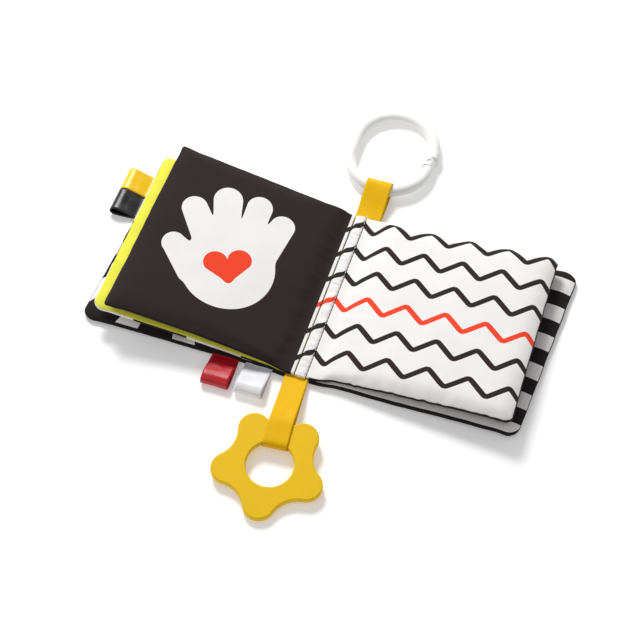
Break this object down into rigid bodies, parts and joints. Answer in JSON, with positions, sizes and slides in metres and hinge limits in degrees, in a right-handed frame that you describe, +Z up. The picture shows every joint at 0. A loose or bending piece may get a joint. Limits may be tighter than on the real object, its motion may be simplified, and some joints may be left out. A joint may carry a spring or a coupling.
{
  "type": "soft cloth baby book",
  "caption": "Soft padded cloth book for a baby, open flat, with ribbon loops, a flower teether on a strap and a clip ring on a strap.",
  "frame": {"origin": "on the surface that the book lies on, under the middle of its spine", "axes": "+X across the spread towards the zigzag page, +Y along the spine towards the ring, +Z up"},
  "size_m": [0.3256, 0.3464, 0.0306],
  "materials": {
    "cover_cloth": "woven cotton",
    "page_cloth": "printed cotton over soft padding",
    "gutter_cloth": "woven cotton",
    "yellow_ribbon": "satin",
    "black_ribbon": "satin",
    "red_ribbon": "satin",
    "white_ribbon": "satin",
    "strap_ribbon": "satin",
    "ring_ribbon": "satin",
    "teether_rubber": "soft matt",
    "ring_plastic": "smooth"
  },
  "bodies": {
    "spine": {"cover_spine": "cover_cloth", "gutter_strip": "gutter_cloth", "teether_strap": "strap_ribbon", "ring_strap": "ring_ribbon"},
    "front_half": {"front_cover": "cover_cloth", "left_pages": "page_cloth", "yellow_tab": "yellow_ribbon", "black_tab": "black_ribbon", "red_tab": "red_ribbon", "white_tab": "white_ribbon"},
    "back_half": {"back_cover": "cover_cloth", "right_pages": "page_cloth"},
    "teether": {"teether": "teether_rubber"},
    "ring": {"link_ring": "ring_plastic"}
  },
  "joints": [
    {"name": "front_cover_hinge", "type": "hinge", "parent": "spine", "child": "front_half", "pos_m": [-0.00375, 0, 0.0065], "axis": [0, 1, 0], "range_deg": [0, 78]},
    {"name": "back_cover_hinge", "type": "hinge", "parent": "spine", "child": "back_half", "pos_m": [0.00375, 0, 0.0065], "axis": [0, -1, 0], "range_deg": [0, 82]},
    {"name": "teether_swing", "type": "hinge", "parent": "spine", "child": "teether", "pos_m": [-0.002, -0.0711, 0.0029], "axis": [-0.9973, -0.0732, 0], "range_deg": [-70, 40], "deforming": ["teether_strap"]},
    {"name": "ring_swing", "type": "hinge", "parent": "spine", "child": "ring", "pos_m": [0.0042, 0.0966, 0.00635], "axis": [1, 0, 0], "range_deg": [-75, 90]}
  ]
}
